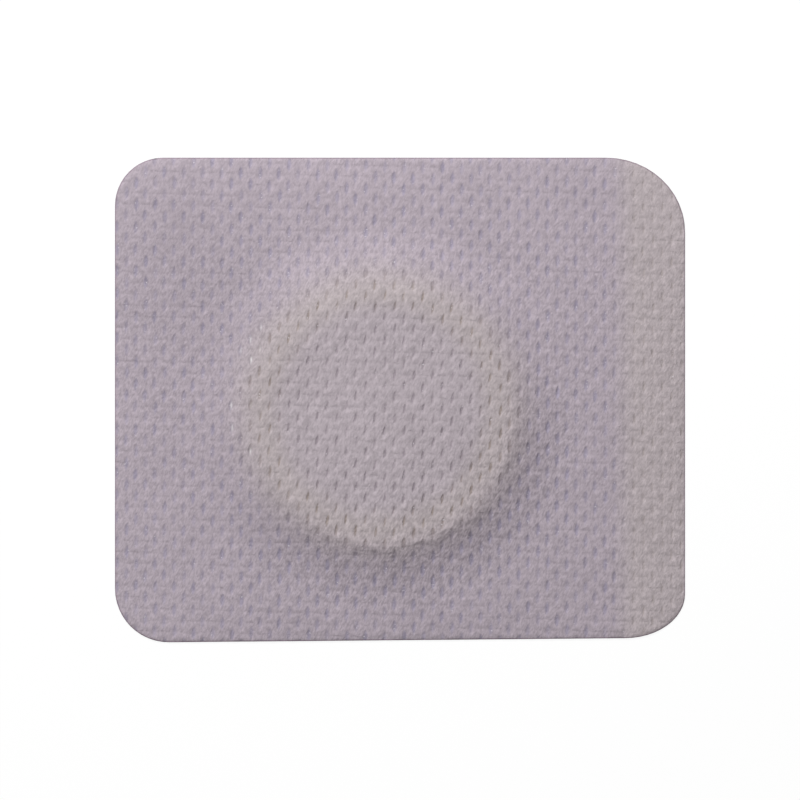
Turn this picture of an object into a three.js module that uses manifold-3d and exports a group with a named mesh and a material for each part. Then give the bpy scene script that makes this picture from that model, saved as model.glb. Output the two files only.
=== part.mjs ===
// Acupoint patch: a round herbal pad that a square of adhesive nonwoven cloth holds against the skin.
//
// It lies as it is packed, cloth up and release liner down. From the table upwards it is a laminate
// of flat pieces: the liner in two parts, the foam ring with the herbal pad inside it, and the cloth,
// which is stuck to the top of the ring and to the liner, and stands clear between the two.
//
// Millimetres, +Z up. The origin is on the liner's underside, below the middle of the sheet.
// +X runs along the sheet towards the liner's tear strip.

import * as THREE from "three";
import { mergeVertices } from "three/addons/utils/BufferGeometryUtils.js";
import Module from "manifold-3d";

const wasm = await Module();
wasm.setup();

// Sheet, as the die cuts it through cloth and liner together
const sheetWidth = 70;
const sheetHeight = 59.5;
const bottomEdgeRise = 0.5; // the lower edge climbs by this much on its way to the right
const corners = {
  topLeft: { across: 5.9, along: 5.9 },
  topRight: { across: 9.7, along: 9.1 },
  bottomRight: { across: 7.4, along: 5.4 },
  bottomLeft: { across: 6.6, along: 6.6 },
};
const cornerSteps = 8;

// Release liner
const linerThickness = 0.12;
const stripWidth = 8.1;
const tearCutWidth = 0.2;

// Foam ring and herbal pad
const discX = -2.4;
const discY = -1.25;
const ringOuterRadius = 16.8;
const ringBand = 4.1;
const ringThickness = 2.2;
const shoulderWidth = 2.2; // the ring's upper outer edge, where the cloth presses it down
const shoulderDrop = 0.65;
const padClearance = 0.3;
const padEdgeRadius = 0.5;
const roundSteps = 60;

// Cloth
const clothThickness = 0.45;
const crestFullness = 0.35; // how much further out the upper face turns down than the underside
const skirtWidth = 8.7; // from the ring's flat top out to the liner, as a mean all round
const skirtDrift = 1.4; // how much wider it is on the low right, and narrower on the high left
const skirtDriftAngle = -60; // degrees, where it is widest
const crestRounding = 1.8;
const footRounding = 2.1;
const skirtSteps = 8;

// Slots pressed into the cloth in columns, those of the next column half a pitch further up
const columnPitch = 1.175;
const slotPitch = 2.755;
const firstSlotX = 0.48; // the slot that columns and rows are counted from
const firstSlotY = -1.05;
const slotWidth = 0.66;
const slotLean = 0.55; // its left rim's corner stands this far above its middle, its right one below
const slotDepth = 0.18;
const rowSkewAngle = -1.5; // degrees, how far the rows lean from the columns' square

const linerTop = linerThickness;
const discTop = linerTop + ringThickness;
const splitX = sheetWidth / 2 - stripWidth;
const ringInnerRadius = ringOuterRadius - ringBand;
const domeRadius = ringOuterRadius - shoulderWidth;

function solidOf(geometry) {
  const bare = geometry.clone();
  bare.deleteAttribute("normal");
  bare.deleteAttribute("uv");
  const merged = mergeVertices(bare, 1e-5);
  const vertProperties = merged.attributes.position.array;
  const triVerts = new Uint32Array(merged.index.array);
  return new wasm.Manifold(new wasm.Mesh({ numProp: 3, vertProperties, triVerts }));
}

function geometryOf(solid) {
  const { vertProperties, triVerts } = solid.getMesh();
  const geometry = new THREE.BufferGeometry();
  geometry.setAttribute("position", new THREE.BufferAttribute(vertProperties, 3));
  geometry.setIndex(new THREE.BufferAttribute(triVerts, 1));
  geometry.computeVertexNormals();
  return geometry;
}

// Sheet outline, anticlockwise from the left end of the lower edge
function sheetOutline() {
  const { topLeft, topRight, bottomRight, bottomLeft } = corners;
  const right = sheetWidth / 2;
  const top = sheetHeight / 2;
  const bottomAtRight = bottomEdgeRise - top;
  const quarter = Math.PI / 2;
  const outline = new THREE.Shape();
  const turn = (x, y, corner, start) =>
    outline.absellipse(x, y, corner.across, corner.along, start, start + quarter, false, 0);
  turn(right - bottomRight.across, bottomAtRight + bottomRight.along, bottomRight, -quarter);
  turn(right - topRight.across, top - topRight.along, topRight, 0);
  turn(topLeft.across - right, top - topLeft.along, topLeft, quarter);
  turn(bottomLeft.across - right, bottomLeft.along - top, bottomLeft, 2 * quarter);
  return outline;
}

function sheetPrism(bottom, height) {
  const prism = new THREE.ExtrudeGeometry(sheetOutline(), {
    depth: height,
    bevelEnabled: false,
    curveSegments: cornerSteps,
  });
  return solidOf(prism.translate(0, 0, bottom));
}

// The part of the liner between two lines across the sheet
function linerPiece(fromX, toX) {
  const band = new THREE.BoxGeometry(toX - fromX, 2 * sheetHeight, 2 * linerThickness);
  band.translate((fromX + toX) / 2, 0, linerThickness / 2);
  return geometryOf(sheetPrism(0, linerThickness).intersect(solidOf(band)));
}

function lathe(profile) {
  const points = profile.map(([radius, z]) => new THREE.Vector2(radius, z));
  const geometry = new THREE.LatheGeometry(points, roundSteps);
  return geometry.rotateX(Math.PI / 2);
}

function foamRing() {
  const shoulder = [1, 0.5, 0].map((share) => {
    const drop = shoulderDrop * share ** crestRounding;
    return [domeRadius + share * shoulderWidth, discTop - drop];
  });
  return lathe([
    [ringInnerRadius, linerTop],
    [ringOuterRadius, linerTop],
    ...shoulder,
    [ringInnerRadius, discTop],
    [ringInnerRadius, linerTop],
  ]);
}

// A cake pressed into the ring's well, with its upper edge a little rounded
function herbalPad() {
  const radius = ringInnerRadius - padClearance;
  const edge = [0, 0.5, 1].map((share) => {
    const angle = (share * Math.PI) / 2;
    return [
      radius - padEdgeRadius * (1 - Math.cos(angle)),
      discTop - padEdgeRadius * (1 - Math.sin(angle)),
    ];
  });
  return lathe([[0, linerTop], [radius, linerTop], ...edge, [0, discTop]]);
}

// How wide the free skirt of cloth is in one direction from the disc
function skirtWidthAt(angle) {
  return skirtWidth + skirtDrift * Math.cos(angle - THREE.MathUtils.degToRad(skirtDriftAngle));
}

// Height that is left at a share of the way down the skirt: 1 at the ring and 0 at the liner
function skirtRise(share) {
  const s = THREE.MathUtils.clamp(share, 0, 1);
  return (1 - s ** crestRounding) ** footRounding;
}

function clothTopAt(x, y) {
  const radius = Math.hypot(x - discX, y - discY);
  const angle = Math.atan2(y - discY, x - discX);
  const share = (radius - domeRadius - crestFullness) / skirtWidthAt(angle);
  return linerTop + clothThickness + ringThickness * skirtRise(share);
}

// Everything below the cloth where it stands off the liner
function spaceUnderDome() {
  const profile = [[0, -linerThickness], [domeRadius + skirtWidth, -linerThickness]];
  for (let step = skirtSteps; step >= 0; step--) {
    const share = step / skirtSteps;
    profile.push([domeRadius + share * skirtWidth, linerTop + ringThickness * skirtRise(share)]);
  }
  profile.push([0, discTop]);
  const space = lathe(profile);
  const position = space.attributes.position;
  for (let i = 0; i < position.count; i++) {
    const [x, y] = [position.getX(i), position.getY(i)];
    const radius = Math.hypot(x, y);
    if (radius <= domeRadius) continue;
    const angle = Math.atan2(y, x);
    const share = (radius - domeRadius) / skirtWidth;
    const spread = (domeRadius + share * skirtWidthAt(angle)) / radius;
    position.setXY(i, x * spread, y * spread);
  }
  return solidOf(space.translate(discX, discY, 0));
}

// Upper face of the cloth. A slot has one point at its bottom and a corner on each rim, and the cloth
// between it and the next one of its column is a fold from one's left corner to the other's right.
function slottedFace() {
  const columns = Math.ceil(sheetWidth / 2 / columnPitch) + 1;
  const rows = Math.ceil(sheetHeight / 2 / slotPitch) + 2;
  const lean = Math.tan(THREE.MathUtils.degToRad(rowSkewAngle));
  const points = [];
  const faces = [];
  const addPoint = (x, y, depth) => points.push([x, y, clothTopAt(x, y) - depth]) - 1;
  let rimBefore = null;
  for (let column = -columns; column <= columns; column++) {
    const raised = column % 2 !== 0;
    const x = firstSlotX + column * columnPitch;
    const left = [];
    const bottom = [];
    const right = [];
    for (let row = -rows; row <= rows; row++) {
      const y = firstSlotY + (raised ? row + 0.5 : row) * slotPitch + lean * x;
      left.push(addPoint(x - slotWidth / 2, y + slotLean, 0));
      bottom.push(addPoint(x, y, slotDepth));
      right.push(addPoint(x + slotWidth / 2, y - slotLean, 0));
    }
    for (let i = 1; i < 2 * rows; i++) {
      const rim = [left[i - 1], right[i], right[i + 1], left[i]];
      rim.forEach((corner, k) => faces.push([corner, rim[(k + 1) % 4], bottom[i]]));
    }
    if (rimBefore) {
      const near = raised ? rimBefore.slice(1) : rimBefore;
      for (let i = 1; i < near.length; i++) {
        faces.push([near[i - 1], left[i - 1], left[i]]);
        faces.push([near[i - 1], left[i], near[i]]);
      }
    }
    rimBefore = right;
  }
  return { points, faces };
}

// A closed block from an open face down to one level
function blockUnder({ points, faces }, level) {
  const count = points.length;
  const corners = [...points, ...points.map(([x, y]) => [x, y, level])];
  const sides = new Map();
  for (const face of faces) {
    face.forEach((from, k) => {
      const to = face[(k + 1) % 3];
      if (!sides.delete(`${to} ${from}`)) sides.set(`${from} ${to}`, [from, to]);
    });
  }
  const under = faces.map(([a, b, c]) => [c + count, b + count, a + count]);
  const walls = [...sides.values()].flatMap(([from, to]) => [
    [to, from, from + count],
    [to, from + count, to + count],
  ]);
  const geometry = new THREE.BufferGeometry();
  geometry.setAttribute("position", new THREE.Float32BufferAttribute(corners.flat(), 3));
  geometry.setIndex([...faces, ...under, ...walls].flat());
  return solidOf(geometry);
}

function nonwovenCloth() {
  const room = ringThickness + 2 * clothThickness;
  const block = blockUnder(slottedFace(), -linerThickness);
  return geometryOf(sheetPrism(linerTop, room).intersect(block).subtract(spaceUnderDome()));
}

const materials = {
  cloth: new THREE.MeshStandardMaterial({ color: 0xaca2ab, roughness: 0.92, metalness: 0 }),
  foam: new THREE.MeshStandardMaterial({ color: 0xcfc7be, roughness: 0.8, metalness: 0 }),
  herbal: new THREE.MeshStandardMaterial({ color: 0x66584e, roughness: 0.85, metalness: 0 }),
  film: new THREE.MeshStandardMaterial({ color: 0xaaa6c4, roughness: 0.35, metalness: 0 }),
  paper: new THREE.MeshStandardMaterial({ color: 0xc9c2ba, roughness: 0.55, metalness: 0 }),
};

const patch = new THREE.Group();

function add(name, geometry, material, x = 0, y = 0) {
  const mesh = new THREE.Mesh(geometry, material);
  mesh.name = name;
  mesh.position.set(x, y, 0);
  patch.add(mesh);
}

add("release_liner", linerPiece(-sheetWidth, splitX - tearCutWidth / 2), materials.film);
add("liner_tear_strip", linerPiece(splitX + tearCutWidth / 2, sheetWidth), materials.paper);
add("foam_ring", foamRing(), materials.foam, discX, discY);
add("herbal_pad", herbalPad(), materials.herbal, discX, discY);
add("nonwoven_cloth", nonwovenCloth(), materials.cloth);

export default patch;
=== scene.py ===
import math
from types import SimpleNamespace

import bmesh
import bpy
import numpy as np
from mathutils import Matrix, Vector


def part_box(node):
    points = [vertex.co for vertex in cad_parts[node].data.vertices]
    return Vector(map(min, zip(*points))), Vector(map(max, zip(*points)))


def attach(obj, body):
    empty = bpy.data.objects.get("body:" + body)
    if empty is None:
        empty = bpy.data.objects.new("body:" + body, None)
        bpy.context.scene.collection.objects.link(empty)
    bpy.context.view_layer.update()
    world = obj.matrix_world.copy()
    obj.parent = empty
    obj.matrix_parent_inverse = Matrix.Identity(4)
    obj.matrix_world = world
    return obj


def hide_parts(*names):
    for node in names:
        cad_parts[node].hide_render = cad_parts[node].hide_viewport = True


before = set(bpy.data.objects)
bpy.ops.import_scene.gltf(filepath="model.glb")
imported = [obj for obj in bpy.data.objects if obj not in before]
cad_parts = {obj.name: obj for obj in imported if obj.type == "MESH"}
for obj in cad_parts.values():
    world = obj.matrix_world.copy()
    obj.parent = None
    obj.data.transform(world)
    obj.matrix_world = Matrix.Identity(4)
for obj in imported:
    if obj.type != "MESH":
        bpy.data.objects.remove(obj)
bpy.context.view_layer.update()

# Release liner
# Two pieces of siliconised web butted at a tear cut: a lavender film under most of the sheet and a
# narrow strip of warm white paper at its right end. Both are die cut with the cloth and lie flat.
MM = 0.001
tiny = 0.001 * MM  # what is shorter counts as nothing
film_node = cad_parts["release_liner"]
strip_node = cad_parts["liner_tear_strip"]
film_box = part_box("release_liner")
strip_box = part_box("liner_tear_strip")
liner_top = film_box[1][2]
tear_cut_x = (film_box[1][0] + strip_box[0][0]) / 2


def linear(red, green, blue):
    """A colour as it is read off a screen, from 0 to 255, in the linear values of a shader."""
    channels = [value / 255 for value in (red, green, blue)]
    curve = [c / 12.92 if c <= 0.04045 else ((c + 0.055) / 1.055) ** 2.4 for c in channels]
    return (*curve, 1.0)


class Finish:
    """A material that is put together node by node."""

    def __init__(self, name, roughness, specular):
        self.material = bpy.data.materials.new(name)
        self.material.use_nodes = True
        self.tree = self.material.node_tree
        self.shader = self.tree.nodes["Principled BSDF"]
        self.shader.inputs["Roughness"].default_value = roughness
        self.shader.inputs["Specular IOR Level"].default_value = specular
        self.place = self.node("ShaderNodeTexCoord").outputs["Object"]

    def node(self, kind, **settings):
        made = self.tree.nodes.new(kind)
        for name, value in settings.items():
            setattr(made, name, value)
        return made

    def link(self, source, target):
        self.tree.links.new(source, target)

    def feed(self, socket, value):
        """Links a socket, or sets a number or colour on it."""
        if isinstance(value, bpy.types.NodeSocket):
            self.link(value, socket)
        else:
            socket.default_value = value

    def stretched(self, scale, turn=0.0):
        """Object coordinates in millimetres, turned about Z and then scaled along each axis."""
        mapping = self.node("ShaderNodeMapping", vector_type="TEXTURE")
        mapping.inputs["Scale"].default_value = [MM / s for s in scale]
        mapping.inputs["Rotation"].default_value = (0, 0, turn)
        self.link(self.place, mapping.inputs["Vector"])
        return mapping.outputs["Vector"]

    def noise(self, vector, scale, detail=3.0, rough=0.6):
        made = self.node("ShaderNodeTexNoise")
        self.link(vector, made.inputs["Vector"])
        made.inputs["Scale"].default_value = scale
        made.inputs["Detail"].default_value = detail
        made.inputs["Roughness"].default_value = rough
        return made.outputs["Fac"]

    def math(self, operation, first, second=0.0, third=0.0):
        made = self.node("ShaderNodeMath", operation=operation)
        self.feed(made.inputs[0], first)
        self.feed(made.inputs[1], second)
        self.feed(made.inputs[2], third)
        return made.outputs["Value"]

    def ramp(self, value, low, high, start=0.0, end=1.0):
        """A smooth step from start to end as value goes from low to high."""
        made = self.node("ShaderNodeMapRange", interpolation_type="SMOOTHSTEP")
        self.link(value, made.inputs["Value"])
        made.inputs["From Min"].default_value = low
        made.inputs["From Max"].default_value = high
        made.inputs["To Min"].default_value = start
        made.inputs["To Max"].default_value = end
        return made.outputs["Result"]

    def mix(self, share, first, second, blend="MIX"):
        made = self.node("ShaderNodeMix", data_type="RGBA", blend_type=blend)
        self.feed(made.inputs["Factor"], share)
        self.feed(made.inputs["A"], first)
        self.feed(made.inputs["B"], second)
        return made.outputs["Result"]

    def bump(self, height, depth, strength=1.0, normal=None):
        made = self.node("ShaderNodeBump")
        made.inputs["Strength"].default_value = strength
        made.inputs["Distance"].default_value = depth
        self.link(height, made.inputs["Height"])
        if normal:
            self.link(normal, made.inputs["Normal"])
        return made.outputs["Normal"]

    def times(self, colour, value):
        """A colour made lighter or darker by a value round 1."""
        return self.mix(1.0, colour, value, blend="MULTIPLY")

    def colour(self, value):
        self.feed(self.shader.inputs["Base Color"], value)

    def surface(self, normal):
        self.link(normal, self.shader.inputs["Normal"])


def film_finish():
    film = Finish("lavender_film", roughness=0.34, specular=0.5)
    haze = film.noise(film.stretched((0.25, 0.6, 1)), 1.0)
    film.colour(film.mix(haze, linear(163, 158, 186), linear(181, 177, 203)))
    ripple = film.noise(film.stretched((0.9, 0.35, 1)), 1.0, detail=2.0)
    film.surface(film.bump(ripple, 0.08 * MM, strength=0.5))
    return film.material


def paper_finish():
    paper = Finish("silicone_paper", roughness=0.45, specular=0.4)
    fibres = paper.noise(paper.stretched((3.0, 9.0, 3.0), turn=0.3), 1.0, detail=5.0)
    paper.colour(paper.mix(fibres, linear(196, 188, 178), linear(214, 207, 199)))
    paper.surface(paper.bump(fibres, 0.02 * MM, strength=0.6))
    return paper.material


for node, finish in ((film_node, film_finish()), (strip_node, paper_finish())):
    node.data.materials.clear()
    node.data.materials.append(finish)

# Foam ring
# Closed-cell foam tape, die cut to a ring that keeps the paste from creeping out. Its upper outer
# edge is pressed round by the cloth, its lower edge stays sharp, and cut cells show on its walls.
ring_low, ring_high = (Vector(corner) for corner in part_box("foam_ring"))
pad_low, pad_high = (Vector(corner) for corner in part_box("herbal_pad"))
disc_x = (ring_low.x + ring_high.x) / 2
disc_y = (ring_low.y + ring_high.y) / 2
disc_top = ring_high.z
ring_outer = (ring_high.x - ring_low.x) / 2
pad_radius = (pad_high.x - pad_low.x) / 2
pad_clearance = 0.3 * MM
ring_inner = pad_radius + pad_clearance
ring_shoulder = 2.2 * MM
shoulder_drop = 0.65 * MM
shoulder_rounding = 1.8

disc_height = disc_top - liner_top
steep_side = math.radians(-60)  # the low right of the disc, where the cloth falls off most steeply
free_edge_steep = 16.8 * MM  # radius where the cloth turns down, on that side
free_edge_gentle = 13.6 * MM  # and on the opposite one, where it pulls the foam round
foot_steep = 25.0 * MM  # radius where the cloth meets the liner
foot_gentle = 22.9 * MM
under_inset = 0.3 * MM  # how far inside its upper face the cloth's underside turns down


def steepness(angle):
    """1 in the direction of the disc's steep side, 0 in the opposite one."""
    return ((1 + np.cos(angle - steep_side)) / 2) ** 0.8


def skirt_reach(angle):
    """Radii between which the cloth comes down from the disc to the liner."""
    steep = steepness(angle)
    edge = free_edge_gentle + (free_edge_steep - free_edge_gentle) * steep
    foot = foot_gentle + (foot_steep - foot_gentle) * steep
    return edge, foot


def skirt_height(share, angle):
    """Share of the disc's height that is left at a share of the way down the skirt."""
    steep = steepness(angle)
    return (1 - share ** (1.8 - 0.72 * steep)) ** (1.9 + 0.45 * steep)


def drape(x, y, inset=0.0):
    """Share of the disc's height that the cloth stands at."""
    angle = np.arctan2(y - disc_y, x - disc_x)
    edge, foot = skirt_reach(angle)
    radius = np.hypot(x - disc_x, y - disc_y) + inset
    return skirt_height(np.clip((radius - edge) / (foot - edge), 0, 1), angle)


def turned(name, profile, steps, closed):
    """A mesh that is spun about the disc's axis from a profile of radii and heights."""
    shape = bmesh.new()
    corners = [shape.verts.new((disc_x + radius, disc_y, z)) for radius, z in profile]
    ends = corners[1:] + corners[:1] if closed else corners[1:]
    edges = [shape.edges.new(pair) for pair in zip(corners, ends)]
    bmesh.ops.spin(
        shape,
        geom=corners + edges,
        cent=(disc_x, disc_y, 0),
        axis=(0, 0, 1),
        angle=2 * math.pi,
        steps=steps,
        use_merge=True,
    )
    bmesh.ops.remove_doubles(shape, verts=shape.verts, dist=tiny)
    bmesh.ops.recalc_face_normals(shape, faces=shape.faces)
    mesh = bpy.data.meshes.new(name)
    shape.to_mesh(mesh)
    shape.free()
    mesh.shade_smooth()
    piece = bpy.data.objects.new(name, mesh)
    bpy.context.scene.collection.objects.link(piece)
    return piece


def ring_profile():
    shoulder = [
        (
            ring_outer - ring_shoulder * (1 - share),
            disc_top - shoulder_drop * share**shoulder_rounding,
        )
        for share in np.linspace(1, 0, 9)
    ]
    lip = 0.12 * MM
    return [
        (ring_inner, liner_top),
        ((ring_inner + ring_outer) / 2, liner_top),
        (ring_outer, liner_top),
        (ring_outer, (liner_top + disc_top) / 2),
        *shoulder,
        ((ring_inner + ring_outer - ring_shoulder) / 2, disc_top),
        (ring_inner + lip, disc_top),
        (ring_inner, disc_top - lip),
        (ring_inner, (liner_top + disc_top) / 2),
    ]


def foam_finish():
    foam = Finish("closed_cell_foam", roughness=0.82, specular=0.25)
    cells = foam.node("ShaderNodeTexVoronoi", feature="DISTANCE_TO_EDGE")
    foam.link(foam.stretched((1, 1, 1)), cells.inputs["Vector"])
    cells.inputs["Scale"].default_value = 4.5
    walls = foam.ramp(cells.outputs["Distance"], 0.0, 0.12)
    patchy = foam.noise(foam.stretched((0.4, 0.4, 0.4)), 1.0)
    skin = foam.mix(patchy, linear(206, 199, 189), linear(219, 213, 204))
    foam.colour(foam.mix(walls, skin, linear(198, 190, 179)))
    foam.surface(foam.bump(walls, 0.05 * MM, strength=0.7))
    return foam.material


def pressed_by_cloth(piece):
    """Lets the cloth's underside press the foam down where it turns down early."""
    for vert in piece.data.vertices:
        under_cloth = liner_top + disc_height * drape(vert.co.x, vert.co.y, under_inset)
        vert.co.z = min(vert.co.z, max(under_cloth, liner_top))


foam_ring = turned("foam_ring_cut", ring_profile(), 128, closed=True)
pressed_by_cloth(foam_ring)
foam_ring.data.materials.append(foam_finish())
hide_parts("foam_ring")
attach(foam_ring, "root")

# Herbal pad
# A round of felt soaked with herbal paste and pressed flat into the ring's well. Its rim is
# rounded by the pressing, and bits of herb and dried paste mottle it.
rim_round = 0.5 * MM


def pad_profile():
    rim = [
        (
            pad_radius - rim_round * (1 - math.cos(turn)),
            disc_top - rim_round * (1 - math.sin(turn)),
        )
        for turn in np.linspace(0, math.pi / 2, 6)
    ]
    rings = [pad_radius * share for share in (0.75, 0.5, 0.25)]
    underside = [(radius, liner_top) for radius in reversed(rings)]
    upper = [(radius, disc_top) for radius in rings]
    return [(0, liner_top), *underside, (pad_radius, liner_top), *rim, *upper, (0, disc_top)]


def herbal_finish():
    herbal = Finish("pressed_herbal_pad", roughness=0.78, specular=0.3)
    grain = herbal.noise(herbal.stretched((1, 1, 1)), 2.4, detail=6.0, rough=0.7)
    bits = herbal.noise(herbal.stretched((2.2, 0.7, 1), turn=0.6), 1.6, detail=2.0)
    paste = herbal.mix(grain, linear(83, 68, 56), linear(124, 107, 91))
    chips = herbal.ramp(bits, 0.58, 0.7)
    herbal.colour(herbal.mix(chips, paste, linear(146, 130, 108)))
    rough = herbal.math("ADD", grain, herbal.math("MULTIPLY", chips, 0.3))
    herbal.surface(herbal.bump(rough, 0.12 * MM, strength=0.8))
    return herbal.material


herbal_pad = turned("herbal_pad_felt", pad_profile(), 96, closed=False)
herbal_pad.data.materials.append(herbal_finish())
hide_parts("herbal_pad")
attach(herbal_pad, "root")

# Nonwoven cloth
# Spunlace tape, white and thin, so that whatever it lies on tints it. Water jets have pressed
# slots into it in staggered columns. It is stuck to the liner all round and to the disc, and it
# hangs free between the two, more steeply below the disc than above it.
cloth_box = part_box("nonwoven_cloth")
sheet_width = cloth_box[1][0] - cloth_box[0][0]
sheet_height = cloth_box[1][1] - cloth_box[0][1]
bottom_edge_rise = 0.5 * MM
corner_sizes = (
    (7.4 * MM, 5.4 * MM),  # bottom right
    (9.7 * MM, 9.1 * MM),  # top right
    (5.9 * MM, 5.9 * MM),  # top left
    (6.6 * MM, 6.6 * MM),  # bottom left
)
corner_steps = 12
cloth_thickness = 0.45 * MM

column_pitch = 1.175 * MM
slot_pitch = 2.755 * MM
first_column = 0.48 * MM  # where the columns and rows are counted from
first_row = -1.05 * MM
row_lean = math.tan(math.radians(-1.5))
row_sag = 0.6 * MM  # how much lower the rows run off the disc than on it
sag_reach = (14 * MM, 26 * MM)  # radii between which they come down
slot_tilt = 0.06  # how far a slot runs sideways for its length
tilt_on_disc = 0.12  # and how much further on the disc
column_lines = (-0.33, -0.16, 0.0, 0.16, 0.33)  # grid lines across a slot, in column pitches
lines_per_slot = 12

rng = np.random.default_rng(22)


def sheet_corners():
    """Points round the cut, anticlockwise from the right end of the lower edge."""
    right, top = sheet_width / 2, sheet_height / 2
    low_right = bottom_edge_rise - top
    centres = (
        (right - corner_sizes[0][0], low_right + corner_sizes[0][1]),
        (right - corner_sizes[1][0], top - corner_sizes[1][1]),
        (corner_sizes[2][0] - right, top - corner_sizes[2][1]),
        (corner_sizes[3][0] - right, corner_sizes[3][1] - top),
    )
    points = []
    for quarter, (centre, size) in enumerate(zip(centres, corner_sizes)):
        for step in range(corner_steps + 1):
            turn = (quarter - 1 + step / corner_steps) * math.pi / 2
            points.append(
                (centre[0] + size[0] * math.cos(turn), centre[1] + size[1] * math.sin(turn))
            )
    return points


def distance_to_cut(x, y, outline):
    """How far inside the cut edge each point lies."""
    nearest = np.full(x.shape, np.inf)
    for (x0, y0), (x1, y1) in zip(outline, outline[1:] + outline[:1]):
        length = math.hypot(x1 - x0, y1 - y0)
        if length > tiny:
            across = ((x1 - x0) * (y - y0) - (y1 - y0) * (x - x0)) / length
            nearest = np.minimum(nearest, across)
    return nearest


def smooth_field(x, y, waves, shortest, longest):
    """A seeded, slowly varying field of about -1 to 1, summed from a few waves."""
    total = np.zeros_like(x)
    for _ in range(waves):
        length = rng.uniform(shortest, longest)
        heading = rng.uniform(0, 2 * math.pi)
        phase = rng.uniform(0, 2 * math.pi)
        along = x * math.cos(heading) + y * math.sin(heading)
        total += np.sin(2 * math.pi * along / length + phase)
    return total / math.sqrt(waves)


columns = math.ceil(sheet_width / 2 / column_pitch) + 1
rows = math.ceil(sheet_height / 2 / slot_pitch) + 2


def cloth_grid():
    """A grid whose lines stand closer where the slots are, as x and y of each point."""
    shape = bmesh.new()
    per_column = len(column_lines)
    across = 2 * columns * per_column
    along = 2 * rows * lines_per_slot
    bmesh.ops.create_grid(shape, x_segments=across, y_segments=along, size=0.5)
    for vert in shape.verts:
        line = round((vert.co.x + 0.5) * across)
        column, step = divmod(line, per_column)
        x = first_column + (column - columns + column_lines[step]) * column_pitch
        y = first_row + 2 * rows * slot_pitch * vert.co.y + row_lean * x
        vert.co = (x, y, 0)
    return shape


def trim(shape, outline):
    """Cuts the grid down to the outline, one straight stretch at a time."""
    for (x0, y0), (x1, y1) in zip(outline, outline[1:] + outline[:1]):
        outward = Vector((y1 - y0, x0 - x1, 0))
        if outward.length < tiny:
            continue
        bmesh.ops.bisect_plane(
            shape,
            geom=shape.verts[:] + shape.edges[:] + shape.faces[:],
            dist=4 * tiny,
            plane_co=(x0, y0, 0),
            plane_no=outward.normalized(),
            clear_outer=True,
        )


def slot_shapes(x, y):
    """The press of the slots, of the cloth's swell low beside them, and of the creases."""
    radius = np.hypot(x - disc_x, y - disc_y)
    away = np.clip((radius - sag_reach[0]) / (sag_reach[1] - sag_reach[0]), 0, 1)
    sag = row_sag * away * away * (3 - 2 * away)
    column = np.rint((x - first_column) / column_pitch)
    level = (y - first_row + sag - row_lean * x) / slot_pitch - np.where(column % 2, 0.5, 0.0)
    along = (level - np.rint(level)) * slot_pitch / MM
    tilt = slot_tilt + tilt_on_disc * drape(x, y)
    across = (x - first_column - column * column_pitch) / MM - tilt * along
    slot = np.exp(-((across / 0.24) ** 2)) * np.exp(-(np.abs(along / 0.62) ** 3))
    swell = np.exp(-(((across - 0.42) / 0.25) ** 2)) * np.exp(-(((along + 0.75) / 0.5) ** 2))
    bridge = np.abs(along) - slot_pitch / 2 / MM
    crease = np.exp(-((bridge / 0.2) ** 2)) * np.exp(-((across / 0.6) ** 4))
    return slot, swell, crease


slot_depth = 0.1 * MM
depth_spread = 0.25
swell_height = 0.05 * MM
crease_depth = 0.03 * MM
ripple_height = 0.015 * MM
billow_height = 0.03 * MM
edge_roll = 0.22 * MM  # how far the sheet comes down towards its cut edge
edge_roll_width = 4.5 * MM
edge_pinch = 0.14 * MM  # and how far the die pinches it right at the cut
edge_pinch_width = 0.5 * MM


def cloth_heights(x, y, inside):
    """Height of the upper face at each point."""
    slot, swell, crease = slot_shapes(x, y)
    depth = slot_depth * (1 + depth_spread * smooth_field(x, y, 12, 2 * MM, 5 * MM))
    height = liner_top + cloth_thickness + disc_height * drape(x, y)
    height += swell_height * swell - depth * slot - crease_depth * crease
    height += ripple_height * smooth_field(x, y, 9, 3 * MM, 9 * MM)
    height += billow_height * smooth_field(x, y, 7, 10 * MM, 30 * MM)
    height -= edge_roll * np.clip(1 - inside / edge_roll_width, 0, 1) ** 2
    height -= edge_pinch * np.clip(1 - inside / edge_pinch_width, 0, 1) ** 2
    return height


skirt_steps = 9
disc_steps = 96


def to_circle(verts, share):
    """Moves a loop of the underside to a share of the way down the skirt, by its directions."""
    for vert in verts:
        angle = math.atan2(vert.co.y - disc_y, vert.co.x - disc_x)
        edge, foot = skirt_reach(angle)
        radius = edge + share * (foot - edge) - under_inset
        height = liner_top + disc_height * skirt_height(share, angle)
        vert.co = (disc_x + radius * math.cos(angle), disc_y + radius * math.sin(angle), height)


def verts_of(geometry):
    return [g for g in geometry if isinstance(g, bmesh.types.BMVert)]


def edges_of(geometry):
    return [g for g in geometry if isinstance(g, bmesh.types.BMEdge)]


def underside(shape):
    """Closes the cloth below: flat on the liner, up the skirt, and flat on ring and pad."""
    rim = [edge for edge in shape.edges if edge.is_boundary]
    grown = bmesh.ops.extrude_edge_only(shape, edges=rim)["geom"]
    for vert in verts_of(grown):
        vert.co.z = liner_top
    rim = edges_of(grown)
    foot = bmesh.ops.create_circle(shape, segments=disc_steps, radius=1.0)["verts"]
    for vert in foot:
        vert.co += Vector((disc_x, disc_y, 0))
    to_circle(foot, 1.0)
    loop = list({edge for vert in foot for edge in vert.link_edges})
    bmesh.ops.triangle_fill(shape, edges=rim + loop, use_beauty=True, use_dissolve=False)
    for step in range(skirt_steps - 1, -1, -1):
        grown = bmesh.ops.extrude_edge_only(shape, edges=loop)["geom"]
        to_circle(verts_of(grown), step / skirt_steps)
        loop = edges_of(grown)
    bmesh.ops.triangle_fill(shape, edges=loop, use_beauty=True, use_dissolve=False)


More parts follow.
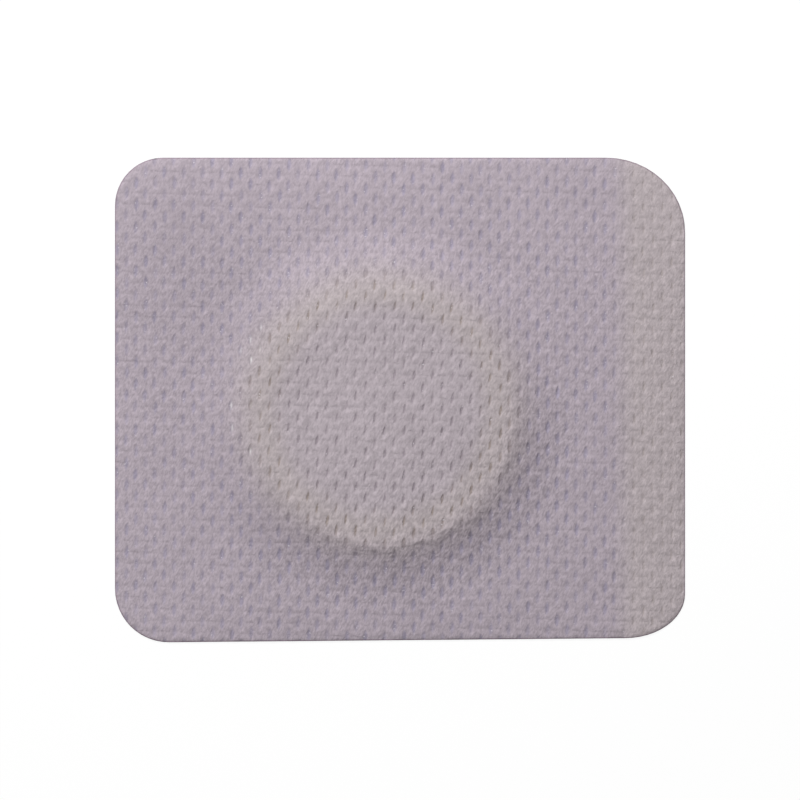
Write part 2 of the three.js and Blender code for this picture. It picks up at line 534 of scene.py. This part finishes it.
def cloth_piece():
    outline = sheet_corners()
    shape = cloth_grid()
    trim(shape, outline)
    mesh = bpy.data.meshes.new("slotted_cloth")
    shape.to_mesh(mesh)
    shape.free()
    flat = np.empty(3 * len(mesh.vertices))
    mesh.vertices.foreach_get("co", flat)
    points = flat.reshape(-1, 3)
    inside = distance_to_cut(points[:, 0], points[:, 1], outline)
    points[:, 2] = cloth_heights(points[:, 0], points[:, 1], inside)
    mesh.vertices.foreach_set("co", points.ravel())
    to_cut = mesh.attributes.new("inside", "FLOAT", "POINT")
    to_cut.data.foreach_set("value", inside / MM)
    shape = bmesh.new()
    shape.from_mesh(mesh)
    underside(shape)
    bmesh.ops.recalc_face_normals(shape, faces=shape.faces)
    shape.to_mesh(mesh)
    shape.free()
    mesh.shade_smooth()
    piece = bpy.data.objects.new("slotted_cloth", mesh)
    bpy.context.scene.collection.objects.link(piece)
    return piece


def bell(finish, value, middle, width, power=2.0):
    """1 where a value is at its middle, falling off to both sides over a width."""
    off = finish.math("ABSOLUTE", finish.math("SUBTRACT", value, middle))
    steep = finish.math("POWER", finish.math("DIVIDE", off, width), power)
    return finish.math("EXPONENT", finish.math("MULTIPLY", steep, -1.0))


def distance_from(finish, spot):
    """Distance from a spot on the sheet, as seen from above."""
    flat = finish.node("ShaderNodeVectorMath", operation="MULTIPLY")
    finish.link(finish.place, flat.inputs[0])
    flat.inputs[1].default_value = (1, 1, 0)
    between = finish.node("ShaderNodeVectorMath", operation="DISTANCE")
    finish.link(flat.outputs["Vector"], between.inputs[0])
    between.inputs[1].default_value = (*spot, 0)
    return between.outputs["Value"]


def shadow_side_share(finish, radius):
    """1 on the disc's steep side, which faces away from the lamp; its slots, lint and rim wrinkles
    are drawn stronger there, partly as painted shade.
    """
    downhill = finish.node("ShaderNodeVectorMath", operation="DOT_PRODUCT")
    finish.link(finish.place, downhill.inputs[0])
    heading = (math.cos(steep_side), math.sin(steep_side))
    downhill.inputs[1].default_value = (*heading, 0)
    from_disc = disc_x * heading[0] + disc_y * heading[1]
    low = finish.ramp(downhill.outputs["Value"], from_disc + 2 * MM, from_disc + 16 * MM)
    return finish.math("MULTIPLY", low, finish.ramp(radius, 20 * MM, 27 * MM, 1.0, 0.0))


def rim_wrinkles(finish, radius, shadow_side):
    """Fine wrinkles that run along the disc's edge, where the cloth turns down steeply."""
    centred = finish.node("ShaderNodeVectorMath", operation="SUBTRACT")
    finish.link(finish.place, centred.inputs[0])
    centred.inputs[1].default_value = (disc_x, disc_y, 0)
    parts = finish.node("ShaderNodeSeparateXYZ")
    finish.link(centred.outputs["Vector"], parts.inputs["Vector"])
    angle = finish.math("ARCTAN2", parts.outputs["Y"], parts.outputs["X"])
    polar = finish.node("ShaderNodeCombineXYZ")
    finish.feed(polar.inputs["X"], finish.math("MULTIPLY", angle, 4.0))
    finish.feed(polar.inputs["Y"], finish.math("DIVIDE", radius, 0.5 * MM))
    lines = finish.ramp(finish.noise(polar.outputs["Vector"], 1.0, detail=2.0), 0.3, 0.7, -1.0, 1.0)
    near_edge = bell(finish, radius, ring_outer + 0.7 * MM, 1.7 * MM)
    return finish.math("MULTIPLY", lines, finish.math("MULTIPLY", near_edge, shadow_side))


def slot_cell(finish, radius, tilt):
    """Place in the nearest slot's cell in millimetres, and three numbers drawn for that cell."""
    place = finish.node("ShaderNodeSeparateXYZ")
    finish.link(finish.stretched((1, 1, 1)), place.inputs["Vector"])
    x = finish.math("SUBTRACT", place.outputs["X"], first_column / MM)
    column = finish.math("ROUND", finish.math("DIVIDE", x, column_pitch / MM))
    sag = finish.ramp(radius, *sag_reach, 0.0, row_sag / MM)
    y = finish.math("SUBTRACT", finish.math("ADD", place.outputs["Y"], sag), first_row / MM)
    y = finish.math("MULTIPLY_ADD", place.outputs["X"], -row_lean, y)
    staggered = finish.math("MULTIPLY", finish.math("FLOORED_MODULO", column, 2.0), 0.5)
    level = finish.math("SUBTRACT", finish.math("DIVIDE", y, slot_pitch / MM), staggered)
    row = finish.math("ROUND", level)
    cell = finish.node("ShaderNodeCombineXYZ")
    finish.feed(cell.inputs["X"], column)
    finish.feed(cell.inputs["Y"], row)
    drawn = finish.node("ShaderNodeTexWhiteNoise")
    finish.link(cell.outputs["Vector"], drawn.inputs["Vector"])
    lots = finish.node("ShaderNodeSeparateColor")
    finish.link(drawn.outputs["Color"], lots.inputs["Color"])
    first, second, third = (lots.outputs[name] for name in ("Red", "Green", "Blue"))
    along = finish.math("MULTIPLY", finish.math("SUBTRACT", level, row), slot_pitch / MM)
    drifted = finish.math("ADD", along, finish.math("MULTIPLY_ADD", first, 0.3, -0.15))
    across = finish.math("SUBTRACT", x, finish.math("MULTIPLY", column, column_pitch / MM))
    across = finish.math("ADD", across, finish.math("MULTIPLY_ADD", second, 0.16, -0.08))
    across = finish.math("SUBTRACT", across, finish.math("MULTIPLY", drifted, tilt))
    return across, along, drifted, (first, second, third)


def fibres(finish, scale, turn):
    """Thin bright lines along the ridges of a stretched noise."""
    wander = finish.noise(finish.stretched(scale, turn=turn), 1.0, detail=1.0)
    centred = finish.math("ABSOLUTE", finish.math("SUBTRACT", wander, 0.5))
    return finish.ramp(centred, 0.0, 0.035, 1.0, 0.0)


def cloth_zones(cloth):
    """What the cloth lies on at each point, and how it lies there, each as a number from 0 to 1."""
    place = cloth.node("ShaderNodeSeparateXYZ")
    cloth.link(cloth.place, place.inputs["Vector"])
    x, y = place.outputs["X"], place.outputs["Y"]
    radius = distance_from(cloth, (disc_x, disc_y))
    wander = cloth.noise(cloth.stretched((0.3, 0.3, 0.3)), 1.0, detail=2.0)
    uneven = cloth.math("ADD", radius, cloth.math("MULTIPLY_ADD", wander, 1.6 * MM, -0.8 * MM))
    on_disc = cloth.ramp(radius, ring_outer - 2.5 * MM, ring_outer + 0.5 * MM, 1.0, 0.0)
    over_strip = cloth.ramp(x, tear_cut_x - 1.6 * MM, tear_cut_x + 2.4 * MM)
    return SimpleNamespace(
        x=x,
        radius=radius,
        over_ring=cloth.ramp(uneven, ring_inner - 1.6 * MM, ring_inner + 2.0 * MM),
        off_ring=cloth.ramp(uneven, ring_outer - 2.8 * MM, ring_outer + 3.6 * MM),
        on_disc=on_disc,
        over_strip=over_strip,
        backed=cloth.math("MAXIMUM", on_disc, over_strip),
        shadow_side=shadow_side_share(cloth, radius),
        even=cloth.ramp(y, 15 * MM, 25 * MM, 1.0, 0.72),
    )


def cloth_tints(cloth, zones):
    """Colours of the web and of the bottom of its slots, over pad, ring, film and strip in turn;
    the slot bottoms are partly tinted by what lies below and partly painted shade of the slot's
    hollow.
    """
    body = cloth.mix(zones.off_ring, linear(174, 164, 166), linear(170, 159, 168))
    body = cloth.mix(zones.over_ring, linear(172, 162, 168), body)
    body = cloth.mix(zones.over_strip, body, linear(174, 164, 167))
    # Painted shade: slot bottoms are darker for the shade in their hollows, and tinted by what lies
    # below.
    pit_tint_and_shade = cloth.mix(zones.off_ring, linear(150, 138, 133), linear(151, 143, 160))
    pit_tint_and_shade = cloth.mix(zones.over_ring, linear(150, 140, 147), pit_tint_and_shade)
    pit_tint_and_shade = cloth.mix(zones.over_strip, pit_tint_and_shade, linear(158, 148, 147))
    return body, pit_tint_and_shade


def slot_press(cloth, zones, lot):
    """How hard each slot is pressed: by its own lot, softly in patches, by what is below, and
    harder on the disc's shadowed steep side, which darkens its slots there as painted shade.
    """
    press = cloth.math("MULTIPLY_ADD", lot, 0.55, 0.52)
    press = cloth.math("MULTIPLY", press, cloth.math("MULTIPLY_ADD", zones.over_strip, -0.25, 1.0))
    patchy = cloth.noise(cloth.stretched((0.2, 0.12, 0.2)), 1.0, detail=1.0)
    press = cloth.math("MULTIPLY", press, cloth.ramp(patchy, 0.3, 0.55, 0.8, 1.0))
    # Painted shade: slots are pressed harder, and so darker, on the disc's shadowed steep side.
    press = cloth.math("MULTIPLY", press, cloth.math("MULTIPLY_ADD", zones.shadow_side, 0.45, 1.0))
    return cloth.math("MULTIPLY", press, cloth.math("MULTIPLY_ADD", zones.on_disc, 0.25, 1.0))


def slot_marks(cloth, zones):
    """The slits, the swell low on the right of each, and the creases between them."""
    tilt = cloth.math("MULTIPLY_ADD", zones.on_disc, tilt_on_disc, slot_tilt)
    across, along, drifted, lots = slot_cell(cloth, zones.radius, tilt)
    ragged = cloth.noise(cloth.stretched((2.5, 2.5, 1)), 1.0, detail=3.0)
    bent = cloth.math("ADD", across, cloth.math("MULTIPLY_ADD", ragged, 0.2, -0.1))

    width = cloth.math("MULTIPLY_ADD", zones.backed, -0.12, 0.24)
    to_tip = cloth.ramp(cloth.math("ABSOLUTE", drifted), 0.1, 1.0, 1.1, 0.3)
    width = cloth.math("MULTIPLY", width, to_tip)
    length = cloth.math("MULTIPLY_ADD", zones.backed, -0.2, 0.8)
    slit = cloth.math(
        "MULTIPLY", bell(cloth, bent, 0.0, width, 3.0), bell(cloth, drifted, 0.0, length, 4.0)
    )
    slit = cloth.math("MULTIPLY", slit, slot_press(cloth, zones, lots[2]))

    swell = cloth.math("MULTIPLY", bell(cloth, bent, 0.4, 0.24), bell(cloth, drifted, -0.85, 0.45))
    swell = cloth.math("MULTIPLY", swell, cloth.math("MULTIPLY_ADD", zones.backed, 0.35, 0.4))

    half_pitch = slot_pitch / 2 / MM
    off_middle = cloth.math("ABSOLUTE", along)
    crease = cloth.math(
        "MULTIPLY", bell(cloth, off_middle, half_pitch, 0.15), bell(cloth, across, 0.0, 0.55, 4.0)
    )
    fading = cloth.noise(cloth.stretched((0.7, 0.7, 0.7)), 1.0, detail=1.0)
    crease = cloth.math("MULTIPLY", crease, cloth.ramp(fading, 0.3, 0.65, 0.1, 1.0))

    to_line = cloth.math("MINIMUM", off_middle, cloth.math("SUBTRACT", half_pitch, off_middle))
    long_fading = cloth.noise(cloth.stretched((0.16, 0.8, 1.0)), 1.0, detail=1.0)
    row_line = cloth.math(
        "MULTIPLY", bell(cloth, to_line, 0.0, 0.12), cloth.ramp(long_fading, 0.45, 0.65)
    )
    return SimpleNamespace(
        bent=bent,
        drifted=drifted,
        lots=lots,
        slit=slit,
        swell=swell,
        crease=crease,
        row_line=row_line,
    )


def web_marks(cloth, zones):
    """Clumps, lint and single fibres of the web, and its wrinkles at the disc's edge."""
    clumps = cloth.noise(cloth.stretched((2.2, 1.1, 1.0), turn=-0.4), 1.0, detail=1.0)
    lint = cloth.noise(cloth.stretched((5.2, 1.9, 2.0), turn=-0.45), 1.0, detail=1.5, rough=0.6)
    rising = fibres(cloth, (2.4, 0.6, 1.0), -0.75)
    falling = fibres(cloth, (2.4, 0.6, 1.0), 0.25)
    # Painted shade: the lint shows stronger contrast on the disc's shadowed steep side.
    relief = cloth.math("MULTIPLY", zones.even, cloth.math("MULTIPLY_ADD", zones.shadow_side, 0.42, 1.0))
    relief = cloth.math("MULTIPLY", relief, cloth.math("MULTIPLY_ADD", zones.on_disc, -0.15, 1.0))
    return SimpleNamespace(
        clumps=clumps,
        lint=lint,
        lint_share=relief,
        fibre=cloth.math("MAXIMUM", rising, falling),
        wrinkles=rim_wrinkles(cloth, zones.radius, zones.shadow_side),
    )


painted_shade_spot = (-27 * MM, 15 * MM)  # centre of a patch of painted shade, the shade of a shallow hollow between the sheet's edge and the disc
corner_light_from = (0, 10 * MM)  # the sheet is painted lighter away from here, towards the low corners, which get less light


def shaded(cloth, tone, slots, web):
    """The tone with painted shade in row lines and creases, painted light and shade on rim wrinkles
    and swells, a painted shade patch and painted light at the low corners, and the web's own cloud,
    clumps, lint and fibres.
    """
    # Painted shade along the row lines.
    tone = cloth.times(tone, cloth.math("MULTIPLY_ADD", slots.row_line, -0.03, 1.0))
    # Painted light and shade across the rim wrinkles.
    tone = cloth.times(tone, cloth.math("MULTIPLY_ADD", web.wrinkles, 0.05, 1.0))
    # Painted highlight on the swell beside each slot, its side that faces the lamp.
    tone = cloth.times(tone, cloth.math("MULTIPLY_ADD", slots.swell, 0.075, 1.0))
    # Painted shade in the creases between slots.
    tone = cloth.times(tone, cloth.math("MULTIPLY_ADD", slots.crease, -0.045, 1.0))
    cloud = cloth.noise(cloth.stretched((0.16, 0.16, 0.16)), 1.0, detail=3.0)
    tone = cloth.times(tone, cloth.ramp(cloud, 0.3, 0.7, 1.02, 0.97))
    # Painted shade: a darker patch left of the disc and high up.
    painted_patch_shade = cloth.ramp(distance_from(cloth, painted_shade_spot), 2 * MM, 20 * MM, 0.92, 1.0)
    # Painted light: lighter towards the low corners, where the sheet gets less light.
    painted_corner_light = cloth.ramp(distance_from(cloth, corner_light_from), 38 * MM, 51 * MM, 1.0, 1.055)
    tone = cloth.times(tone, cloth.math("MULTIPLY", painted_patch_shade, painted_corner_light))
    tone = cloth.times(tone, cloth.ramp(web.clumps, 0.3, 0.7, 0.97, 1.03))
    lint = cloth.math("MULTIPLY", cloth.ramp(web.lint, 0.3, 0.7, -0.13, 0.13), web.lint_share)
    tone = cloth.times(tone, cloth.math("ADD", lint, 1.0))
    return cloth.times(tone, cloth.math("MULTIPLY_ADD", web.fibre, 0.07, 0.98))


def highlighted(cloth, tone, zones, slots):
    """Adds painted highlights, near-white glints in the slots of the disc's left rim where light
    would glint on the adhesive, and specks in all the slots.
    """
    rim = bell(cloth, zones.radius, ring_outer + 0.5 * MM, 1.2 * MM)
    left_side = cloth.ramp(zones.x, disc_x - 16.5 * MM, disc_x - 13 * MM, 1.0, 0.0)
    # Painted highlight: some slots on the disc's left rim are turned near white, as glints of
    # light.
    painted_glint = cloth.math("MULTIPLY", rim, left_side)
    painted_glint = cloth.math("MULTIPLY", painted_glint, cloth.math("GREATER_THAN", slots.lots[0], 0.35))
    painted_glint = cloth.math("MULTIPLY", painted_glint, bell(cloth, slots.bent, 0.08, 0.12))
    painted_glint = cloth.math("MULTIPLY", painted_glint, bell(cloth, slots.drifted, 0.0, 0.4))
    tone = cloth.mix(painted_glint, tone, linear(232, 228, 229))
    grains = cloth.noise(cloth.stretched((4.0, 4.0, 4.0)), 1.0, detail=1.0)
    specks = cloth.math(
        "MULTIPLY", cloth.ramp(grains, 0.68, 0.73), cloth.math("ADD", slots.slit, 0.15)
    )
    return cloth.mix(specks, tone, linear(206, 200, 206))


def cloth_finish():
    cloth = Finish("spunlace_cloth", roughness=0.85, specular=0.2)
    zones = cloth_zones(cloth)
    slots = slot_marks(cloth, zones)
    web = web_marks(cloth, zones)

    body, pit_tint_and_shade = cloth_tints(cloth, zones)
    tone = shaded(cloth, cloth.mix(slots.slit, body, pit_tint_and_shade), slots, web)
    tone = highlighted(cloth, tone, zones, slots)
    inside = cloth.node("ShaderNodeAttribute", attribute_name="inside").outputs["Fac"]
    # Painted shade: a dark line along the cut edge, where the sheet rolls down to the liner.
    painted_edge_shade = cloth.ramp(inside, 0.03, 0.2, 0.8, 0.0)
    cloth.colour(cloth.mix(painted_edge_shade, tone, linear(130, 110, 124)))
    cloth.feed(cloth.shader.inputs["Roughness"], cloth.ramp(slots.slit, 0.3, 1.0, 0.85, 0.55))

    relief = cloth.math("SUBTRACT", cloth.math("MULTIPLY", slots.swell, 0.6), slots.slit)
    relief = cloth.math("SUBTRACT", relief, cloth.math("MULTIPLY", slots.crease, 0.35))
    relief = cloth.math("SUBTRACT", relief, cloth.math("MULTIPLY", slots.row_line, 0.2))
    relief = cloth.math("ADD", relief, cloth.math("MULTIPLY", web.wrinkles, 0.35))
    lint = cloth.math("MULTIPLY", web.lint, web.lint_share)
    normal = cloth.bump(relief, 0.062 * MM, strength=0.8)
    normal = cloth.bump(web.clumps, 0.065 * MM, strength=0.8, normal=normal)
    normal = cloth.bump(lint, 0.045 * MM, strength=0.9, normal=normal)
    cloth.surface(cloth.bump(web.fibre, 0.03 * MM, strength=0.8, normal=normal))
    return cloth.material


slotted_cloth = cloth_piece()
slotted_cloth.data.materials.append(cloth_finish())
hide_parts("nonwoven_cloth")
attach(slotted_cloth, "root")

# Table, lamp and camera
# The patch lies on a white table that is seen from above only. A round soft lamp stands high on the
# upper left, the room fills the rest, and the camera looks straight down.
table_half = 0.4
table_drop = 0.02 * MM  # keeps its face apart from the liner's underside
lamp_distance = 0.35
lamp_rise = math.radians(48)
lamp_heading = math.radians(112)
lamp_width = 0.12
lamp_power = 1.09
room_level = 0.42
camera_height = 0.6
picture_pixels = 800
sheet_pixels = 570  # how wide the sheet is in that picture
picture_width = sheet_width * picture_pixels / sheet_pixels


def table_finish():
    """White, and bright to the camera, but clear from below and to light that goes to the liner."""
    finish = Finish("white_table", roughness=0.9, specular=0.1)
    finish.colour(linear(255, 255, 255))
    glow = finish.node("ShaderNodeEmission")
    glow.inputs["Strength"].default_value = 1.0
    seen = finish.node("ShaderNodeLightPath")
    direct = finish.math("MAXIMUM", seen.outputs["Is Camera Ray"], seen.outputs["Is Glossy Ray"])
    direct = finish.math("MAXIMUM", direct, seen.outputs["Is Transmission Ray"])
    bright = finish.node("ShaderNodeMixShader")
    finish.link(finish.math("MULTIPLY", direct, 0.9), bright.inputs["Fac"])
    finish.link(finish.shader.outputs["BSDF"], bright.inputs[1])
    finish.link(glow.outputs["Emission"], bright.inputs[2])
    from_below = finish.node("ShaderNodeNewGeometry").outputs["Backfacing"]
    from_liner = finish.math("LESS_THAN", seen.outputs["Ray Length"], 5 * table_drop)
    one_sided = finish.node("ShaderNodeMixShader")
    finish.link(finish.math("MAXIMUM", from_below, from_liner), one_sided.inputs["Fac"])
    finish.link(bright.outputs["Shader"], one_sided.inputs[1])
    clear = finish.node("ShaderNodeBsdfTransparent")
    finish.link(clear.outputs["BSDF"], one_sided.inputs[2])
    output = finish.tree.nodes["Material Output"]
    finish.link(one_sided.outputs["Shader"], output.inputs["Surface"])
    return finish.material


def table():
    shape = bmesh.new()
    bmesh.ops.create_grid(shape, x_segments=1, y_segments=1, size=table_half)
    bmesh.ops.translate(shape, vec=(0, 0, -table_drop), verts=shape.verts)
    mesh = bpy.data.meshes.new("table")
    shape.to_mesh(mesh)
    shape.free()
    mesh.materials.append(table_finish())
    top = bpy.data.objects.new("table", mesh)
    bpy.context.scene.collection.objects.link(top)
    return top


def aimed(thing, place, target):
    thing.location = place
    thing.rotation_euler = (Vector(target) - Vector(place)).to_track_quat("-Z", "Y").to_euler()
    bpy.context.scene.collection.objects.link(thing)


table()

lamp = bpy.data.objects.new("soft_lamp", bpy.data.lights.new("soft_lamp", "AREA"))
lamp.data.shape = "DISK"
lamp.data.size = lamp_width
lamp.data.energy = lamp_power
lamp.visible_camera = False
flat_reach = lamp_distance * math.cos(lamp_rise)
aimed(
    lamp,
    (
        flat_reach * math.cos(lamp_heading),
        flat_reach * math.sin(lamp_heading),
        lamp_distance * math.sin(lamp_rise),
    ),
    (0, 0, 0),
)

world = bpy.data.worlds.new("room")
bpy.context.scene.world = world
world.use_nodes = True
sky = world.node_tree.nodes["Background"]
sky.inputs["Color"].default_value = (1, 1, 1, 1)
paths = world.node_tree.nodes.new("ShaderNodeLightPath")
level = world.node_tree.nodes.new("ShaderNodeMapRange")
level.inputs["To Min"].default_value = room_level
level.inputs["To Max"].default_value = 1.0
world.node_tree.links.new(paths.outputs["Is Camera Ray"], level.inputs["Value"])
world.node_tree.links.new(level.outputs["Result"], sky.inputs["Strength"])

camera = bpy.data.objects.new("camera", bpy.data.cameras.new("camera"))
camera.data.sensor_width = 36
camera.data.lens = 36 * camera_height / picture_width
camera.data.clip_start = 0.01
camera.location = (0, 0, liner_top + camera_height)
bpy.context.scene.collection.objects.link(camera)
bpy.context.scene.camera = camera
bpy.context.scene.view_settings.view_transform = "Standard"
